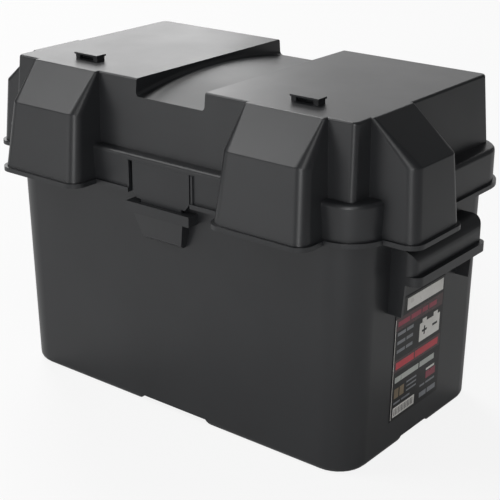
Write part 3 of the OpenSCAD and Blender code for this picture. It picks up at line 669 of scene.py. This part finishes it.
@dataclass
class EndLabel:
    """The film on the end wall: a black ground with blank white, red and grey blocks.

    Every block is plain. Sizes are in mm from the film's lower corner on the cable side.
    """

    proud_mm: float = 0.05
    wall_lean_deg: float = 1.0
    word_gap_mm: float = 1.6
    bar_count: int = 13
    bar_pitch_mm: float = 2.1

    def build(self) -> None:
        """Dresses the film and lays its printed blocks."""
        film = bpy.data.objects["end_label"]
        film.data.materials.clear()
        film.data.materials.append(LABEL_BLACK.material())
        self.print_blocks("label_bands", LABEL_DARK_RED, [(1.5, 74, 65, 10), (1.5, 40, 65, 10)], 0.4)
        self.print_blocks("label_head_bar", LABEL_WHITE, [(15, 86.5, 51, 9.5)])
        self.print_blocks("label_battery_sign", LABEL_WHITE, [
            (35, 53.5, 29, 15), (38.5, 68.5, 6, 3), (54.5, 68.5, 6, 3),
        ])
        self.print_blocks("label_signs_dark", LABEL_BLACK, [
            (38.5, 60.5, 7, 1.8), (41.1, 57.9, 1.8, 7), (53.5, 60.5, 7, 1.8),
        ], 1.5)
        self.print_blocks("label_words_red", LABEL_RED, self.words(4, 77, 4, (16, 14, 8, 11)))
        self.print_blocks("label_row_red", LABEL_BRIGHT_RED, self.words(4, 42.2, 5.6, (25, 33)))
        self.print_blocks("label_row_pale", LABEL_PALE, self.words(4, 31, 4.6, (33, 21)))
        small: list[Patch] = []
        for row in (69.5, 62.5, 55.5):
            small += self.words(4, row, 2.6, (11, 9))
        for row in (25.2, 21.6, 18.0):
            small += self.words(21, row, 1.3, (14,))
        small += self.words(4, 13.2, 1.6, (9, 12)) + self.words(41, 13.2, 1.6, (7, 13))
        small += self.words(41, 4.0, 4.2, (10, 12))
        self.print_blocks("label_rows_grey", LABEL_GREY, small)
        self.print_blocks("label_block_tan", LABEL_TAN, self.words(4, 18, 8, (6, 6)))
        self.print_blocks("label_block_red", LABEL_RED, [(49, 17.5, 14, 6)])
        self.print_blocks("label_edge_line", LABEL_WHITE, [(0.6, 1.5, 0.5, 82), (49, 24.5, 12, 1.8)])
        self.bar_strip()

    def words(self, start: float, low: float, height: float, widths: Sequence[float]) -> list[Patch]:
        """Sets blank blocks side by side.

        Args:
            start: where the first block begins.
            low: the row's lower edge.
            height: the row's height.
            widths: the width of each block.

        Returns:
            Left edge, lower edge, width and height of each block.
        """
        row = []
        for width in widths:
            row.append((start, low, width, height))
            start += width + self.word_gap_mm
        return row

    def place(self, across: float, up: float, proud: float) -> tuple[float, float, float]:
        """Gives the point on the film at a distance across and up, and a little proud of it."""
        low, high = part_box("end_label")
        z = low[2] + up * MM
        x = high[0] - (high[2] - z) * math.tan(math.radians(self.wall_lean_deg)) + proud * MM
        return (x, low[1] + across * MM, z)

    def print_blocks(
        self, name: str, finish: Finish, blocks: Sequence[tuple[float, float, float, float]], lift: float = 1.0,
    ) -> None:
        """Lays flat blocks of one ink on the film.

        Args:
            name: the piece's name.
            finish: the ink.
            blocks: left edge, lower edge, width and height of each block.
            lift: how proud they stand, as a multiple of the usual ink.
        """
        verts: list[tuple[float, float, float]] = []
        faces: list[tuple[int, ...]] = []
        for left, low, width, height in blocks:
            first = len(verts)
            for proud in (-self.proud_mm, self.proud_mm * lift):
                verts += [
                    self.place(left, low, proud), self.place(left + width, low, proud),
                    self.place(left + width, low + height, proud), self.place(left, low + height, proud),
                ]
            for ring in BLOCK_FACES:
                faces.append(tuple(first + corner for corner in ring))
        mesh = bpy.data.meshes.new(name)
        mesh.from_pydata(verts, [], faces)
        stand_for(link_mesh(name, mesh, finish), "box")

    def bar_strip(self) -> None:
        """Lays a white patch with a row of thin dark bars."""
        self.print_blocks("label_bar_patch", LABEL_WHITE, [(3.5, 2.5, 30, 8)])
        start = self.place(5.5, 6.5, 1.6 * self.proud_mm)
        bars = RepeatTree(Repeat.BLOCKS).make("label_bars", {
            "Count": self.bar_count, "Start": start, "Step": (0.0, self.bar_pitch_mm * MM, 0.0),
            "Size": (self.proud_mm * MM, 0.8 * MM, 5.4 * MM),
        }, LABEL_BLACK)
        stand_for(bars, "box")


# ---------------------------------------------------------------- the battery


@dataclass
class Battery:
    """The battery in the bay: case, cover, caps, terminals and cells.

    Attributes:
        case_edge_mm: edge rounding of the cover.
        rib_mm: width of a case rib.
        rib_out_mm: thickness of a case rib, half of it in the wall.
        rib_pitch_mm: spacing of the case ribs.
        rib_margin_mm: length of the case that the ribs leave free.
        rib_share: how much of the case's height a rib covers.
        cover_rib_mm: length and thickness of a rib on the cover.
        cover_rib_front_mm: how far before the middle the front row lies.
        cover_rib_rear_mm: how far behind the middle the rear row lies.
        grip_pitch_mm: spacing of the grip ribs on the caps and the strap.
        grip_mm: size of a grip rib on a cap.
        grip_margin_mm: length of a cap that the grips leave free.
        grip_drop_mm: how far below the cap's top the middle of a grip is.
        disc_share: radius of a cap's disc as a share of its plug's seal.
        disc_mm: thickness of a cap's disc.
        strap_rib_count: grip ribs on the strap.
        strap_rib_mm: width and thickness of a grip rib on the strap.
        stud_head_mm: thickness of a stud's head.
        head_out_mm: how far the head stands out past the thread.
        thread_pitch_mm: pitch of the stud's thread.
        thread_depth_mm: how deep the thread is cut.
        thread_wire_mm: radius of the thread's ridge.
        nose_cut_mm: how much smaller in radius the plain nose is than the thread.
        nose_tall_mm: length of the plain nose.
        sign_inset_mm: how far a sign stands from its post.
        sign_mm: half length and half width of a sign's arms, and half its height.
    """

    case_edge_mm: float = 1.2
    rib_mm: float = 2.2
    rib_out_mm: float = 1.6
    rib_pitch_mm: float = 11.5
    rib_margin_mm: float = 20.0
    rib_share: float = 0.8
    cover_rib_mm: tuple[float, float] = (9.0, 1.0)
    cover_rib_front_mm: float = 32.0
    cover_rib_rear_mm: float = 22.0
    grip_pitch_mm: float = 4.0
    grip_mm: tuple[float, float, float] = (1.6, 1.2, 4.4)
    grip_margin_mm: float = 34.0
    grip_drop_mm: float = 5.5
    disc_share: float = 0.8
    disc_mm: float = 1.2
    strap_rib_count: int = 15
    strap_rib_mm: tuple[float, float] = (1.5, 0.9)
    stud_head_mm: float = 2.5
    head_out_mm: float = 2.5
    thread_pitch_mm: float = 1.5
    thread_depth_mm: float = 0.35
    thread_wire_mm: float = 0.33
    nose_cut_mm: float = 0.75
    nose_tall_mm: float = 3.7
    sign_inset_mm: float = 26.0
    sign_mm: tuple[float, float, float] = (5.5, 1.2, 0.5)

    def build(self) -> None:
        """Builds and dresses the whole battery."""
        self.mouldings()
        self.case_ribs()
        self.caps()
        self.strap_ribs()
        for pole in Polarity:
            self.terminal(pole)
        self.cells()

    def mouldings(self) -> None:
        """Builds the case, the cover, the strap and the two gang caps with soft edges."""
        for node, body, slot, finish, width in (
            ("battery_case", "box", "case_plastic", CASE_PLASTIC, 0.8),
            ("battery_cover", "box", "case_plastic", CASE_PLASTIC, self.case_edge_mm),
            ("carry_strap", "box", "strap_plastic", STRAP_PLASTIC, 0.6),
            ("vent_cap_left", "left_cap", "cap_plastic", CAP_PLASTIC, 0.9),
            ("vent_cap_right", "right_cap", "cap_plastic", CAP_PLASTIC, 0.9),
            ("cap_seals_left", "left_cap", "seal_rubber", SEAL_RUBBER, 0.2),
            ("cap_seals_right", "right_cap", "seal_rubber", SEAL_RUBBER, 0.2),
        ):
            piece = link_mesh(node + "_moulding", clean_copy(node), finish)
            soften(piece, width)
            stand_for(piece, body, [node])

    def case_ribs(self) -> None:
        """Sets stiffening ribs along the case's two long walls and low ribs on its cover."""
        low, high = (Vector(corner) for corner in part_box("battery_case"))
        count = int((high.x - low.x - self.rib_margin_mm * MM) / (self.rib_pitch_mm * MM)) + 1
        start_x = (low.x + high.x) / 2 - (count - 1) * self.rib_pitch_mm * MM / 2
        for name, y in (("front", low.y), ("rear", high.y)):
            ribs = RepeatTree(Repeat.BLOCKS).make(f"case_ribs_{name}", {
                "Count": count, "Start": (start_x, y, (low.z + high.z) / 2),
                "Step": (self.rib_pitch_mm * MM, 0.0, 0.0),
                "Size": (self.rib_mm * MM, self.rib_out_mm * MM, (high.z - low.z) * self.rib_share),
            }, CASE_PLASTIC)
            soften(ribs, 0.3)
            stand_for(ribs, "box")
        cover = Vector(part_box("battery_cover")[1])
        middle_y = (low.y + high.y) / 2
        long, thick = (size * MM for size in self.cover_rib_mm)
        for name, y in (
            ("front", middle_y - self.cover_rib_front_mm * MM),
            ("rear", middle_y + self.cover_rib_rear_mm * MM),
        ):
            ribs = RepeatTree(Repeat.BLOCKS).make(f"cover_ribs_{name}", {
                "Count": count, "Start": (start_x, y, cover.z), "Step": (self.rib_pitch_mm * MM, 0.0, 0.0),
                "Size": (self.rib_mm * MM, long, thick),
            }, CASE_PLASTIC)
            soften(ribs, 0.25)
            stand_for(ribs, "box")

    def caps(self) -> None:
        """Adds grip ribs down the sides of each gang cap and a raised disc over each filler."""
        for side in ("left", "right"):
            low, high = (Vector(corner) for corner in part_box(f"vent_cap_{side}"))
            grip_z = high.z - self.grip_drop_mm * MM
            count = int((high.x - low.x - self.grip_margin_mm * MM) / (self.grip_pitch_mm * MM)) + 1
            start_x = (low.x + high.x) / 2 - (count - 1) * self.grip_pitch_mm * MM / 2
            for name, y in (("front", low.y), ("rear", high.y)):
                grips = RepeatTree(Repeat.BLOCKS).make(f"cap_grips_{side}_{name}", {
                    "Count": count, "Start": (start_x, y, grip_z), "Step": (self.grip_pitch_mm * MM, 0.0, 0.0),
                    "Size": tuple(size * MM for size in self.grip_mm),
                }, CAP_PLASTIC)
                soften(grips, 0.3)
                stand_for(grips, f"{side}_cap")
            seals_low, seals_high = (Vector(corner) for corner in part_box(f"cap_seals_{side}"))
            radius = (seals_high.y - seals_low.y) / 2
            pitch = (seals_high.x - seals_low.x - 2 * radius) / 2
            discs = RepeatTree(Repeat.DISCS).make(f"cap_discs_{side}", {
                "Count": 3, "Start": (seals_low.x + radius, (low.y + high.y) / 2, high.z),
                "Step": (pitch, 0.0, 0.0),
                "Size": (radius * self.disc_share, radius * self.disc_share, self.disc_mm * MM),
            }, CAP_PLASTIC)
            soften(discs, 0.35)
            stand_for(discs, f"{side}_cap")

    def strap_ribs(self) -> None:
        """Lays grip ribs across the middle of the carrying strap."""
        low, high = (Vector(corner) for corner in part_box("carry_strap"))
        start_x = (low.x + high.x) / 2 - (self.strap_rib_count - 1) * self.grip_pitch_mm * MM / 2
        wide, thick = (size * MM for size in self.strap_rib_mm)
        ribs = RepeatTree(Repeat.BLOCKS).make("strap_ribs", {
            "Count": self.strap_rib_count, "Start": (start_x, (low.y + high.y) / 2, high.z),
            "Step": (self.grip_pitch_mm * MM, 0.0, 0.0),
            "Size": (wide, (high.y - low.y) * self.rib_share, thick),
        }, STRAP_PLASTIC)
        soften(ribs, 0.2)
        stand_for(ribs, "box")

    def terminal(self, pole: Polarity) -> None:
        """Builds one pole's post, bushing, stud, nut and washer, with its sign on the cover.

        Args:
            pole: which pole.
        """
        for part, slot, finish, width in (
            ("bushing", "lead", CAST_LEAD, 0.5), ("post", "lead", CAST_LEAD, 0.5),
            ("nut", "stainless", STAINLESS, 0.5), ("washer", "stainless", STAINLESS, 0.2),
        ):
            node = f"{pole.value}_{part}"
            name = node + ("_cast" if slot == "lead" else "_turned")
            piece = link_mesh(name, clean_copy(node), finish)
            soften(piece, width)
            stand_for(piece, "box", [node])
        self.stud(pole)
        self.sign(pole)

    def stud(self, pole: Polarity) -> None:
        """Builds one stud: a round head, a threaded shank and a plain nose that leads a ring on."""
        node = f"{pole.value}_stud"
        low, high = (Vector(corner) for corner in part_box(node))
        head = (high.x - low.x) / 2 / MM
        tall = (high.z - low.z) / MM
        outer = head - self.head_out_mm
        core = outer - self.thread_depth_mm
        nose = outer - self.nose_cut_mm
        nose_low = tall - self.nose_tall_mm
        head_top, soft, chamfer = self.stud_head_mm, 0.4, 0.8
        foot = Vector(((low.x + high.x) / 2, (low.y + high.y) / 2, low.z))
        shank = link_mesh(f"{node}_shank", turned_mesh((
            (head - soft, 0.0), (head, soft), (head, head_top - soft), (head - soft, head_top),
            (core, head_top), (core, nose_low), (nose, nose_low + 0.3), (nose, tall - chamfer),
            (nose - chamfer, tall),
        ), foot), STAINLESS)
        soften(shank, 0.12)
        stand_for(shank, "box", [node])
        first_turn = 3.4
        height = nose_low - 3.7
        thread = RepeatTree(Repeat.THREAD).make(f"{node}_thread", {
            "Turns": height / self.thread_pitch_mm, "Radius": core * MM, "Height": height * MM,
            "Wire": self.thread_wire_mm * MM,
        }, STAINLESS)
        for face in thread.data.polygons:
            face.use_smooth = True
        stand_for(move_mesh(thread, foot + Vector((0, 0, first_turn * MM))), "box")

    def sign(self, pole: Polarity) -> None:
        """Raises a plus or a minus on the cover beside the post."""
        low, high = (Vector(corner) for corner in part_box(f"{pole.value}_bushing"))
        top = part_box("battery_cover")[1][2]
        outward = 1 if pole is Polarity.POSITIVE else -1
        middle_x = (low.x + high.x) / 2 - outward * self.sign_inset_mm * MM
        middle = Vector((middle_x, (low.y + high.y) / 2, top))
        long_half, thin_half, up = (size * MM for size in self.sign_mm)
        bars = [(middle - Vector((long_half, thin_half, up)), middle + Vector((long_half, thin_half, up)))]
        if pole is Polarity.POSITIVE:
            for s in (-1, 1):
                arm = middle + Vector((0, s * (long_half + thin_half) / 2, 0))
                half = Vector((thin_half, (long_half - thin_half) / 2, up))
                bars.append((arm - half, arm + half))
        piece = link_mesh(f"{pole.value}_sign", blocks_mesh(bars), CASE_PLASTIC)
        soften(piece, 0.2)
        stand_for(piece, "box")

    def cells(self) -> None:
        """Dresses the plates, the separators and the links between the cells."""
        finishes: dict[str, Finish] = {"cell_connectors": CAST_LEAD}
        for cell in range(1, 7):
            finishes[f"cell_{cell}_positive_plates"] = POSITIVE_PASTE
            finishes[f"cell_{cell}_negative_plates"] = NEGATIVE_PASTE
            finishes[f"cell_{cell}_separators"] = SEPARATOR_SHEET
        for node, finish in finishes.items():
            mesh = bpy.data.objects[node].data
            mesh.materials.clear()
            mesh.materials.append(finish.material())


# ---------------------------------------------------------------- studio


@dataclass
class Studio:
    """Pale floor, soft lights and the camera.

    Attributes:
        lens_mm: focal length on a 36 mm wide sensor.
        camera_at: the camera's place, in metres.
        azimuth_deg: the way it looks; 0 is along +Y.
        elevation_deg: how far it looks down.
        roll_deg: how far it leans.
        floor_half: half the floor's width, in metres.
        floor_colour: the floor's paint, as the lights see it.
        floor_glow: how much of the floor's look is plain white.
        surround: the strength of the white surround as a light.
    """

    lens_mm: float = 92.0
    camera_at: tuple[float, float, float] = (0.6017, -0.7481, 0.4905)
    azimuth_deg: float = 38.2
    elevation_deg: float = 21.42
    roll_deg: float = 0.11
    floor_half: float = 6.0
    floor_colour: str = "#f0f0f0"
    floor_glow: float = 0.86
    surround: float = 0.1

    def build(self) -> None:
        """Makes the whole studio."""
        self.add_camera()
        self.add_floor()
        self.add_lights()
        self.add_world()
        view = bpy.context.scene.view_settings
        view.view_transform = "Standard"
        view.look = "None"
        view.exposure = 0.0
        view.gamma = 1.0

    def add_camera(self) -> None:
        """Places the camera and makes it the scene's own."""
        azimuth = math.radians(self.azimuth_deg)
        elevation = math.radians(self.elevation_deg)
        back = Vector((
            math.sin(azimuth) * math.cos(elevation), -math.cos(azimuth) * math.cos(elevation),
            math.sin(elevation),
        ))
        data = bpy.data.cameras.new("camera")
        data.lens = self.lens_mm
        data.sensor_width = 36.0
        data.clip_end = 60.0
        camera = bpy.data.objects.new("camera", data)
        turn = (-back).to_track_quat("-Z", "Y").to_matrix().to_4x4()
        camera.matrix_world = (
            Matrix.Translation(self.camera_at) @ turn @ Matrix.Rotation(math.radians(self.roll_deg), 4, "Z")
        )
        bpy.context.scene.collection.objects.link(camera)
        bpy.context.scene.camera = camera

    def add_floor(self) -> None:
        """Lays a plain pale floor."""
        half = self.floor_half
        mesh = bpy.data.meshes.new("floor")
        corners = [(-half, -half, 0), (half, -half, 0), (half, half, 0), (-half, half, 0)]
        mesh.from_pydata(corners, [], [(0, 1, 2, 3)])
        floor = bpy.data.objects.new("floor", mesh)
        mesh.materials.append(self.floor_paint())
        bpy.context.scene.collection.objects.link(floor)

    def floor_paint(self) -> bpy.types.Material:
        """Makes the studio floor: white to look at, with a faint shadow, but dim in reflections."""
        paint = bpy.data.materials.new("matte_white_floor_paint")
        paint.use_nodes = True
        tree = paint.node_tree
        tree.nodes.clear()
        path = add_node(tree, "ShaderNodeLightPath")
        dim = add_node(tree, "ShaderNodeBsdfDiffuse", None, {"Color": linear(self.floor_colour)})
        bright = add_node(tree, "ShaderNodeEmission", None, {"Color": linear("#ffffff"), "Strength": 1.0})
        seen = add_node(tree, "ShaderNodeMath", {"operation": "MULTIPLY"}, {
            0: path.outputs["Is Camera Ray"], 1: self.floor_glow,
        })
        mix = add_node(tree, "ShaderNodeMixShader", None, {
            0: seen.outputs[0], 1: dim.outputs[0], 2: bright.outputs[0],
        })
        add_node(tree, "ShaderNodeOutputMaterial", None, {"Surface": mix.outputs[0]})
        return paint

    def add_area(
        self, name: str, at: tuple[float, float, float], aim: tuple[float, float, float],
        size: tuple[float, float], power: float,
    ) -> bpy.types.Object:
        """Adds one soft rectangular light.

        Args:
            name: the light's name.
            at: its place.
            aim: the point that it faces.
            size: its width and height.
            power: its power in watts.

        Returns:
            The light.
        """
        data = bpy.data.lights.new(name, "AREA")
        data.shape = "RECTANGLE"
        data.size, data.size_y = size
        data.energy = power
        light = bpy.data.objects.new(name, data)
        light.location = at
        light.rotation_mode = "QUATERNION"
        light.rotation_quaternion = (Vector(aim) - Vector(at)).to_track_quat("-Z", "Y")
        bpy.context.scene.collection.objects.link(light)
        return light

    def add_lights(self) -> None:
        """Adds the soft lights."""
        middle = (0.0, 0.0, 0.2)
        self.add_area("back_left_panel", (-2.6, 1.9, 1.0), middle, (1.8, 1.4), 23.0)
        self.add_area("back_panel", (-1.3, 3.0, 1.0), middle, (2.2, 1.4), 10.0)
        self.add_area("front_left_panel", (-1.5, -1.2, 1.9), middle, (1.1, 1.1), 21.0)
        self.add_area("high_left_panel", (-1.35, 0.85, 2.05), middle, (0.75, 0.7), 21.0)
        self.add_area("front_right_strip", (1.15, -1.95, 0.7), middle, (0.5, 1.2), 17.0)
        self.add_area("low_front_panel", (-1.2, -2.2, 0.3), middle, (1.6, 0.5), 6.5)
        self.add_area("corner_panel", (0.7, -0.75, 1.0), (0.5, -0.45, 0.0), (0.5, 0.5), 2.6)

    def add_world(self) -> None:
        """Makes a plain white surround that lights the object softly."""
        world = bpy.data.worlds.new("surround")
        world.use_nodes = True
        tree = world.node_tree
        tree.nodes.clear()
        path = add_node(tree, "ShaderNodeLightPath")
        level = add_node(tree, "ShaderNodeMapRange", None, {
            "Value": path.outputs["Is Camera Ray"], "To Min": self.surround, "To Max": 1.0,
        })
        glow = add_node(tree, "ShaderNodeBackground", None, {
            "Color": linear("#ffffff"), "Strength": level.outputs["Result"],
        })
        add_node(tree, "ShaderNodeOutputWorld", None, {"Surface": glow.outputs["Background"]})
        bpy.context.scene.world = world


def main() -> None:
    """Builds the whole scene, in order."""
    logging.basicConfig(level=logging.INFO, format="%(name)s: %(message)s")
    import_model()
    Studio().build()
    MouldedBox().build()
    EndLabel().build()
    Battery().build()


if __name__ == "__main__":
    main()
